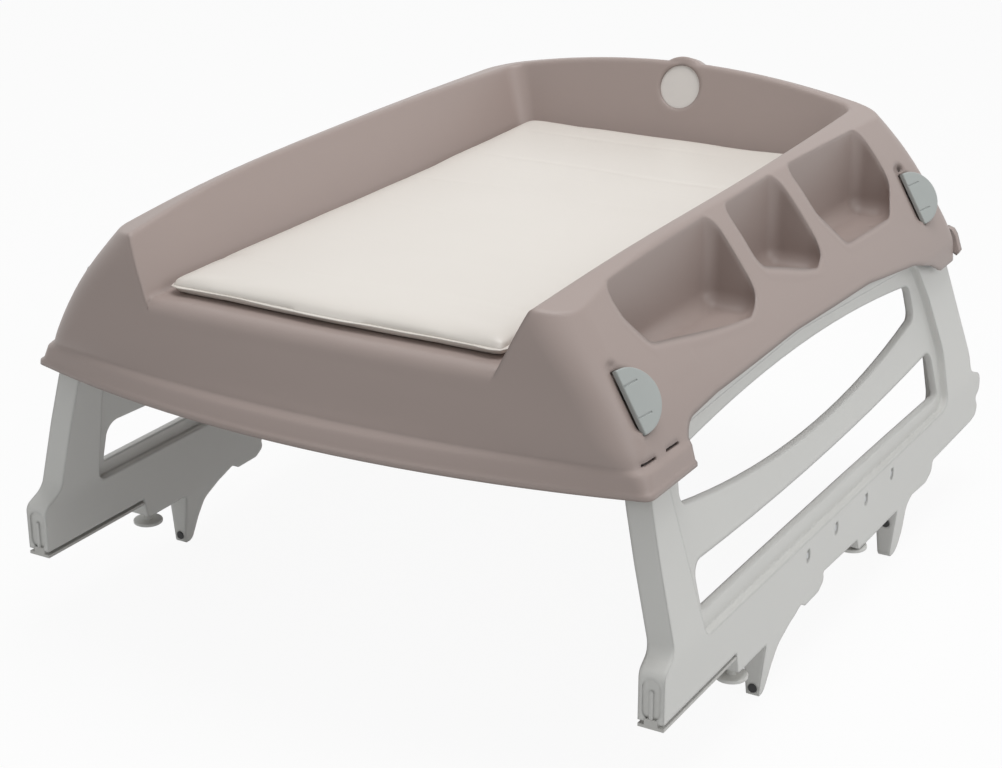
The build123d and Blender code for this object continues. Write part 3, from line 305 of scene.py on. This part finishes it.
def buildFineGrain():
    # height of the spark-eroded grain of a mould, or of a leather-like film
    group, given, result = newGroup(
        "fineGrain",
        (
            ("Grain Scale", "NodeSocketFloat", 1200.0),
            ("Ripple Scale", "NodeSocketFloat", 12.0),
            ("Ripple Share", "NodeSocketFloat", 0.1),
        ),
        (("Height", "NodeSocketFloat"),),
    )
    nodes, links = group.nodes, group.links
    place = nodes.new("ShaderNodeTexCoord").outputs["Object"]
    grainShape = surface["grainDetail"], surface["grainRoughness"]
    grain = addNoise(group, place, given.outputs["Grain Scale"], *grainShape)
    ripple = addNoise(group, place, given.outputs["Ripple Scale"], surface["rippleDetail"])
    part = nodes.new("ShaderNodeMath")
    part.operation = "MULTIPLY_ADD"
    links.new(ripple.outputs["Fac"], part.inputs[0])
    links.new(given.outputs["Ripple Share"], part.inputs[1])
    links.new(grain.outputs["Fac"], part.inputs[2])
    links.new(part.outputs[0], result.inputs["Height"])
    return group


def buildCrease():
    # faint sideways creases left in the film where the mat was folded for its box
    group, given, result = newGroup(
        "foldCrease",
        (
            ("Spacing", "NodeSocketFloat", 0.11),
            ("Width Share", "NodeSocketFloat", 0.05),
            ("Wander", "NodeSocketFloat", 0.006),
        ),
        (("Height", "NodeSocketFloat"),),
    )
    nodes, links = group.nodes, group.links
    place = nodes.new("ShaderNodeTexCoord").outputs["Object"]
    split = nodes.new("ShaderNodeSeparateXYZ")
    links.new(place, split.inputs[0])
    wander = addNoise(group, place, surface["wanderScale"], surface["wanderDetail"])
    moved = nodes.new("ShaderNodeMath")
    moved.operation = "MULTIPLY_ADD"
    links.new(wander.outputs["Fac"], moved.inputs[0])
    links.new(given.outputs["Wander"], moved.inputs[1])
    links.new(split.outputs["Y"], moved.inputs[2])
    turns = nodes.new("ShaderNodeMath")
    turns.operation = "DIVIDE"
    links.new(moved.outputs[0], turns.inputs[0])
    links.new(given.outputs["Spacing"], turns.inputs[1])
    saw = nodes.new("ShaderNodeMath")
    saw.operation = "PINGPONG"
    links.new(turns.outputs[0], saw.inputs[0])
    saw.inputs[1].default_value = 0.5
    height = addRange(group, saw.outputs[0], 0.0, given.outputs["Width Share"], 0.0, 1.0)
    links.new(height, result.inputs["Height"])
    return group


surfaceTone = buildSurfaceTone()
fineGrain = buildFineGrain()
foldCrease = buildCrease()
print("shader groups built")


# colours are linear; edge, bumpDistance in metres; scales per metre
finishes = {
    "shell_plastic": {
        "colour": (0.358, 0.289, 0.266), "worn": (0.44, 0.362, 0.338),
        "toneScale": 5.0, "toneDepth": 0.05,
        "fleckScale": 1400.0, "fleckDepth": 0.05, "edge": 0.0085,
        "wear": 0.12, "rough": 0.42, "roughDepth": 0.10,
        "grain": 1500.0, "ripple": 9.0, "rippleShare": 0.5,
        "bump": 0.05, "bumpDistance": 0.0006,
    },
    "leg_plastic": {
        "colour": (0.640, 0.636, 0.615), "worn": (0.72, 0.715, 0.70),
        "toneScale": 6.0, "toneDepth": 0.05,
        "fleckScale": 1100.0, "fleckDepth": 0.04, "edge": 0.0055,
        "wear": 0.20, "rough": 0.42, "roughDepth": 0.10,
        "grain": 1300.0, "ripple": 14.0, "rippleShare": 0.6,
        "bump": 0.06, "bumpDistance": 0.0006,
    },
    "button_plastic": {
        "colour": (0.375, 0.398, 0.388), "worn": (0.58, 0.62, 0.61),
        "toneScale": 18.0, "toneDepth": 0.04,
        "fleckScale": 1200.0, "fleckDepth": 0.03, "edge": 0.0012,
        "wear": 0.25, "rough": 0.38, "roughDepth": 0.08,
        "grain": 1500.0, "ripple": 30.0, "rippleShare": 0.3,
        "bump": 0.04, "bumpDistance": 0.0005,
    },
    "foot_plastic": {
        "colour": (0.640, 0.636, 0.615), "worn": (0.72, 0.715, 0.70),
        "toneScale": 20.0, "toneDepth": 0.05,
        "fleckScale": 1100.0, "fleckDepth": 0.04, "edge": 0.0010,
        "wear": 0.20, "rough": 0.45, "roughDepth": 0.08,
        "grain": 1300.0, "ripple": 30.0, "rippleShare": 0.3,
        "bump": 0.05, "bumpDistance": 0.0005,
    },
    "grey_rubber": {
        "colour": (0.56, 0.552, 0.53), "worn": (0.62, 0.615, 0.60),
        "toneScale": 25.0, "toneDepth": 0.08,
        "fleckScale": 700.0, "fleckDepth": 0.06, "edge": 0.0010,
        "wear": 0.15, "rough": 0.68, "roughDepth": 0.08,
        "grain": 900.0, "ripple": 40.0, "rippleShare": 0.3,
        "bump": 0.12, "bumpDistance": 0.0006,
    },
    "black_rubber": {
        "colour": (0.022, 0.022, 0.023), "worn": (0.07, 0.07, 0.07),
        "toneScale": 60.0, "toneDepth": 0.25,
        "fleckScale": 900.0, "fleckDepth": 0.15, "edge": 0.0006,
        "wear": 0.40, "rough": 0.60, "roughDepth": 0.12,
        "grain": 900.0, "ripple": 60.0, "rippleShare": 0.3,
        "bump": 0.15, "bumpDistance": 0.0005,
    },
    "guide_plastic": {
        "colour": (0.040, 0.040, 0.042), "worn": (0.09, 0.09, 0.09),
        "toneScale": 40.0, "toneDepth": 0.15,
        "fleckScale": 1000.0, "fleckDepth": 0.10, "edge": 0.0006,
        "wear": 0.25, "rough": 0.50, "roughDepth": 0.08,
        "grain": 1200.0, "ripple": 50.0, "rippleShare": 0.3,
        "bump": 0.08, "bumpDistance": 0.0005,
    },
    "badge_plastic": {
        "colour": (0.700, 0.665, 0.635), "worn": (0.78, 0.75, 0.73),
        "toneScale": 40.0, "toneDepth": 0.03,
        "fleckScale": 1500.0, "fleckDepth": 0.02, "edge": 0.0008,
        "wear": 0.20, "rough": 0.30, "roughDepth": 0.05,
        "grain": 1500.0, "ripple": 60.0, "rippleShare": 0.2,
        "bump": 0.02, "bumpDistance": 0.0004,
    },
    "zinc_steel": {
        "colour": (0.56, 0.57, 0.58), "worn": (0.75, 0.75, 0.76),
        "toneScale": 90.0, "toneDepth": 0.25,
        "fleckScale": 500.0, "fleckDepth": 0.12, "edge": 0.0004,
        "wear": 0.5, "rough": 0.36, "roughDepth": 0.20,
        "grain": 700.0, "ripple": 80.0, "rippleShare": 0.4,
        "bump": 0.06, "bumpDistance": 0.0004, "metal": 1.0,
    },
    "spring_steel": {
        "colour": (0.42, 0.42, 0.43), "worn": (0.62, 0.62, 0.63),
        "toneScale": 200.0, "toneDepth": 0.25,
        "fleckScale": 900.0, "fleckDepth": 0.15, "edge": 0.0002,
        "wear": 0.2, "rough": 0.30, "roughDepth": 0.15,
        "grain": 900.0, "ripple": 150.0, "rippleShare": 0.4,
        "bump": 0.06, "bumpDistance": 0.0003, "metal": 1.0,
    },
    "brass": {
        "colour": (0.70, 0.52, 0.24), "worn": (0.85, 0.72, 0.42),
        "toneScale": 90.0, "toneDepth": 0.2,
        "fleckScale": 700.0, "fleckDepth": 0.1, "edge": 0.0004,
        "wear": 0.4, "rough": 0.30, "roughDepth": 0.15,
        "grain": 800.0, "ripple": 90.0, "rippleShare": 0.4,
        "bump": 0.05, "bumpDistance": 0.0004, "metal": 1.0,
    },
    "mat_vinyl": {
        "colour": (0.745, 0.700, 0.650), "worn": (0.80, 0.76, 0.72),
        "toneScale": 4.0, "toneDepth": 0.04,
        "fleckScale": 900.0, "fleckDepth": 0.03, "edge": 0.0010,
        "wear": 0.10, "rough": 0.36, "roughDepth": 0.10,
        "grain": 1100.0, "ripple": 16.0, "rippleShare": 1.2,
        "bump": 0.10, "bumpDistance": 0.0008,
        "crease": 0.05, "coat": 0.12, "coatRough": 0.35,
    },
}


def groupNode(tree, group, values):
    node = tree.nodes.new("ShaderNodeGroup")
    node.node_tree = group
    for name, value in values.items():
        node.inputs[name].default_value = value
    return node


def makeFinish(name, finish):
    material = bpy.data.materials.new(name)
    material.use_nodes = True
    tree = material.node_tree
    nodes, links = tree.nodes, tree.links
    shader = nodes["Principled BSDF"]
    tone = groupNode(tree, surfaceTone, {
        "Colour": (*finish["colour"], 1), "Worn Colour": (*finish["worn"], 1),
        "Tone Scale": finish["toneScale"], "Tone Depth": finish["toneDepth"],
        "Fleck Scale": finish["fleckScale"], "Fleck Depth": finish["fleckDepth"],
        "Edge Radius": finish["edge"], "Edge Wear": finish["wear"],
        "Roughness": finish["rough"], "Roughness Depth": finish["roughDepth"],
    })
    grain = groupNode(tree, fineGrain, {
        "Grain Scale": finish["grain"], "Ripple Scale": finish["ripple"],
        "Ripple Share": finish["rippleShare"],
    })
    rounded = nodes.new("ShaderNodeBevel")
    rounded.samples = surface["roundSamples"]
    rounded.inputs["Radius"].default_value = finish["edge"]
    bump = nodes.new("ShaderNodeBump")
    bump.inputs["Strength"].default_value = finish["bump"]
    bump.inputs["Distance"].default_value = finish["bumpDistance"]
    links.new(grain.outputs["Height"], bump.inputs["Height"])
    links.new(rounded.outputs["Normal"], bump.inputs["Normal"])
    last = bump
    if "crease" in finish:
        crease = groupNode(tree, foldCrease, {})
        fold = nodes.new("ShaderNodeBump")
        fold.inputs["Strength"].default_value = finish["crease"]
        fold.inputs["Distance"].default_value = surface["foldDistance"]
        links.new(crease.outputs["Height"], fold.inputs["Height"])
        links.new(bump.outputs["Normal"], fold.inputs["Normal"])
        last = fold
    links.new(tone.outputs["Colour"], shader.inputs["Base Color"])
    links.new(tone.outputs["Roughness"], shader.inputs["Roughness"])
    links.new(last.outputs["Normal"], shader.inputs["Normal"])
    shader.inputs["Metallic"].default_value = finish.get("metal", 0.0)
    shader.inputs["Coat Weight"].default_value = finish.get("coat", 0.0)
    shader.inputs["Coat Roughness"].default_value = finish.get("coatRough", 0.03)
    return material


materials = {name: makeFinish(name, finish) for name, finish in finishes.items()}
print("materials made:", len(materials))


def dressNodes():
    slots = {entry["node"]: entry["material_slot"] for entry in frame["record"]["subparts"]}
    for node, piece in frame["nodes"].items():
        piece.data.materials.clear()
        piece.data.materials.append(materials[slots[node]])


# the padded mat, in metres; shares have no unit
mat = {
    "columns": 66,
    "rows": 120,
    "endDepth": 0.030,
    "sideInset": 0.0015,
    "weldShare": 0.42,
    "weldThick": 0.0022,
    "topRound": 0.0115,
    "underRound": 0.009,
    "drawIn": 0.0022,
    "frontBow": 0.0045,
    "crown": 0.0022,
    "voxel": 0.0055,
    "pressure": 4.0,
    "frames": 20,
    "mostMove": 0.0030,
    "floorGap": 0.0004,
    "creaseStart": 0.085,
    "creaseSpacing": 0.118,
    "creaseWander": 0.010,
    "creaseWide": 0.0050,
    "creaseDeep": 0.0004,
    "creaseNoise": 7.0,
    "dimpleScale": 11.0,
    "dimpleDeep": 0.0007,
}


def clearSelection():
    if bpy.context.mode != "OBJECT":
        bpy.ops.object.mode_set(mode="OBJECT")
    bpy.ops.object.select_all(action="DESELECT")


def activate(piece):
    clearSelection()
    piece.select_set(True)
    bpy.context.view_layer.objects.active = piece


def applyModifier(piece, kind, **settings):
    activate(piece)
    modifier = piece.modifiers.new(kind.lower(), kind)
    for key, value in settings.items():
        setattr(modifier, key, value)
    bpy.ops.object.modifier_apply(modifier=modifier.name)


def matLevels():
    # underside and top of the CAD mat along its middle line, away from its two thin ends
    low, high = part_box("changing_mat")
    shape = BVHTree.FromObject(frame["nodes"]["changing_mat"], bpy.context.evaluated_depsgraph_get())
    upward = Vector((0, 0, 1))

    def levels(along):
        inside = min(max(along, low.y + mat["endDepth"]), high.y - mat["endDepth"])
        under = shape.ray_cast(Vector((0, inside, low.z - 1)), upward)[0].z
        over = shape.ray_cast(Vector((0, inside, high.z + 1)), -upward)[0].z
        return under, over

    return levels


def roundedShare(distance, reach):
    # how much of the full height a round edge has at a distance from the weld
    if distance >= reach:
        return 1.0
    return math.sqrt(max(0.0, 1 - (1 - distance / reach) ** 2))


def makeSlab():
    # a sheet at the height of the weld, extruded, with its two faces then pulled apart
    low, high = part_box("changing_mat")
    levels = matLevels()
    clearSelection()
    bpy.ops.mesh.primitive_grid_add(x_subdivisions=mat["columns"], y_subdivisions=mat["rows"], size=2)
    pad = bpy.context.object
    pad.name = "matPad"
    bpy.ops.object.mode_set(mode="EDIT")
    bpy.ops.mesh.select_all(action="SELECT")
    bpy.ops.mesh.extrude_region_move(TRANSFORM_OT_translate={"value": (0, 0, 1)})
    bpy.ops.object.mode_set(mode="OBJECT")
    halfWide = (high.x - low.x) / 2 - mat["sideInset"]
    halfLong = (high.y - low.y) / 2 - mat["sideInset"]
    middle = (low + high) / 2
    for vertex in pad.data.vertices:
        across, along, isTop = vertex.co.x, vertex.co.y, vertex.co.z > 0.5
        x = across * (halfWide - mat["drawIn"] * (1 - along ** 2))
        pulled = mat["drawIn"] * (1 - across ** 2) if along > 0 else mat["frontBow"] * across ** 2
        y = along * (halfLong - pulled)
        under, over = levels(middle.y + y)
        weld = under + mat["weldShare"] * (over - under)
        fromEdge = min((1 - abs(across)) * halfWide, (1 - abs(along)) * halfLong)
        if isTop:
            full = over - mat["crown"] * (across ** 2 + along ** 2) / 2 - weld
            z = weld + max(full * roundedShare(fromEdge, mat["topRound"]), mat["weldThick"] / 2)
        else:
            full = weld - under
            z = weld - max(full * roundedShare(fromEdge, mat["underRound"]), mat["weldThick"] / 2)
        vertex.co = (middle.x + x, middle.y + y, z)
    activate(pad)
    bpy.ops.object.mode_set(mode="EDIT")
    bpy.ops.mesh.select_all(action="SELECT")
    bpy.ops.mesh.normals_make_consistent(inside=False)
    bpy.ops.object.mode_set(mode="OBJECT")
    return pad, levels


def swellMat(pad):
    # soft pressure fills the film, while no point may move far
    before = [vertex.co.copy() for vertex in pad.data.vertices]
    activate(pad)
    cloth = pad.modifiers.new("swell", "CLOTH")
    cloth.settings.use_pressure = True
    cloth.settings.uniform_pressure_force = mat["pressure"]
    cloth.settings.effector_weights.gravity = 0.0
    cloth.settings.quality = 5
    cloth.point_cache.frame_start = 1
    cloth.point_cache.frame_end = mat["frames"]
    scene = bpy.context.scene
    for step in range(1, mat["frames"] + 1):
        scene.frame_set(step)
    bpy.ops.object.modifier_apply(modifier=cloth.name)
    scene.frame_set(1)
    for vertex, start in zip(pad.data.vertices, before):
        move = vertex.co - start
        if move.length > mat["mostMove"]:
            move *= mat["mostMove"] / move.length
        vertex.co = start + move


def creaseDepth(point, start):
    # the film keeps faint creases across it where it was folded
    wander = noise.noise(Vector((point.x, point.y, 0)) * mat["creaseNoise"]) * mat["creaseWander"]
    along = (point.y - start - mat["creaseStart"] + wander) / mat["creaseSpacing"]
    apart = abs(along - round(along)) * mat["creaseSpacing"]
    strength = 0.5 + noise.noise(Vector((point.x * 3, round(along) * 1.7, 1.0)))
    return mat["creaseDeep"] * max(0.0, strength) * math.exp(-(apart / mat["creaseWide"]) ** 2)


def finishMat(pad, levels):
    low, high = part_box("changing_mat")
    for vertex in pad.data.vertices:
        under, over = levels(vertex.co.y)
        place = vertex.co
        if place.z > (under + over) / 2:
            place.z -= creaseDepth(place, low.y)
            place.z += noise.noise(place * mat["dimpleScale"]) * mat["dimpleDeep"]
        place.z = max(place.z, under + mat["floorGap"])
        place.x = min(max(place.x, low.x), high.x)
        place.y = min(max(place.y, low.y), high.y)


def makeMat():
    pad, levels = makeSlab()
    applyModifier(pad, "REMESH", mode="VOXEL", voxel_size=mat["voxel"])
    swellMat(pad)
    applyModifier(pad, "SMOOTH", factor=0.5, iterations=2)
    applyModifier(pad, "SUBSURF", levels=1, render_levels=1)
    finishMat(pad, levels)
    bpy.ops.object.shade_smooth()
    pad.data.materials.clear()
    pad.data.materials.append(materials["mat_vinyl"])
    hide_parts("changing_mat")
    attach(pad, "mat")
    return pad


# its welded rim
hem = {
    "reach": 0.0030,
    "root": 0.0040,
    "halfThick": 0.0008,
    "corner": 0.014,
    "ear": 0.0065,
    "acrossSteps": 60,
    "alongSteps": 110,
    "smoothSpan": 3,
    "waveScale": 22.0,
    "waveDepth": 0.0010,
}


def widestPoints(points, outAxis, way, alongAxis, first, last, count):
    # the point that stands out furthest in each of count strips between first and last
    picks = [None] * count
    for point in points:
        share = (point[alongAxis] - first) / (last - first)
        if 0 <= share < 1:
            strip = int(share * count)
            if picks[strip] is None or way * point[outAxis] > way * picks[strip][outAxis]:
                picks[strip] = point
    return [point.copy() for point in picks if point is not None]


def smoothRun(points, span):
    smoothed = []
    for index in range(len(points)):
        near = points[max(0, index - span):index + span + 1]
        smoothed.append(sum(near, Vector()) / len(near))
    return smoothed


def hemLoop(pad):
    points = [vertex.co for vertex in pad.data.vertices]
    low = [min(point[axis] for point in points) for axis in range(3)]
    high = [max(point[axis] for point in points) for axis in range(3)]
    left, right = low[0] + hem["corner"], high[0] - hem["corner"]
    front, back = low[1] + hem["corner"], high[1] - hem["corner"]
    runs = (
        widestPoints(points, 1, -1, 0, left, right, hem["acrossSteps"]),
        widestPoints(points, 0, 1, 1, front, back, hem["alongSteps"]),
        widestPoints(points, 1, 1, 0, right, left, hem["acrossSteps"]),
        widestPoints(points, 0, -1, 1, back, front, hem["alongSteps"]),
    )
    runs = [smoothRun(run, hem["smoothSpan"]) for run in runs]
    loop = []
    for index, run in enumerate(runs):
        later = runs[(index + 1) % len(runs)]
        loop += run
        if index % 2 == 0:
            tip = Vector((later[0].x, run[-1].y, (run[-1].z + later[0].z) / 2))
        else:
            tip = Vector((run[-1].x, later[0].y, (run[-1].z + later[0].z) / 2))
        loop.append(tip)
    return loop


def makeHem(pad):
    # the welded edge of the film, a thin flange with a pointed ear at each corner
    loop = hemLoop(pad)
    count = len(loop)
    middle = sum(loop, Vector()) / count
    profile = (
        (-hem["root"], hem["halfThick"]),
        (0.0, hem["halfThick"]),
        (hem["reach"] - hem["halfThick"], hem["halfThick"]),
        (hem["reach"], 0.0),
        (hem["reach"] - hem["halfThick"], -hem["halfThick"]),
        (-hem["root"], -hem["halfThick"]),
    )
    mesh = bpy.data.meshes.new("matHem")
    shape = bmesh.new()
    rings = []
    for index, point in enumerate(loop):
        along = loop[(index + 1) % count] - loop[index - 1]
        out = Vector((along.y, -along.x, 0)).normalized()
        if out.dot(point - middle) < 0:
            out = -out
        turn = (loop[(index + 1) % count] - point).angle(point - loop[index - 1])
        stretch = 1 + turn * hem["ear"] / hem["reach"] / math.pi * 2
        wave = noise.noise(point * hem["waveScale"]) * hem["waveDepth"]
        ring = []
        for outward, upward in profile:
            place = point + out * (outward * stretch if outward > 0 else outward)
            place.z += upward + (wave if outward > 0 else 0.0)
            ring.append(shape.verts.new(place))
        rings.append(ring)
    for index, ring in enumerate(rings):
        later = rings[(index + 1) % count]
        for side in range(len(profile)):
            nextSide = (side + 1) % len(profile)
            shape.faces.new((ring[side], later[side], later[nextSide], ring[nextSide]))
    bmesh.ops.recalc_face_normals(shape, faces=shape.faces)
    shape.to_mesh(mesh)
    shape.free()
    flange = bpy.data.objects.new("matHem", mesh)
    bpy.context.scene.collection.objects.link(flange)
    applyModifier(flange, "SUBSURF", levels=1, render_levels=1)
    bpy.ops.object.shade_smooth()
    flange.data.materials.append(materials["mat_vinyl"])
    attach(flange, "mat")


placeCamera()
lightStudio()
layFloor()
dressNodes()
print("frame dressed")
matPad = makeMat()
makeHem(matPad)
print("mat made")

bpy.context.scene.view_settings.view_transform = "Standard"
clearSelection()
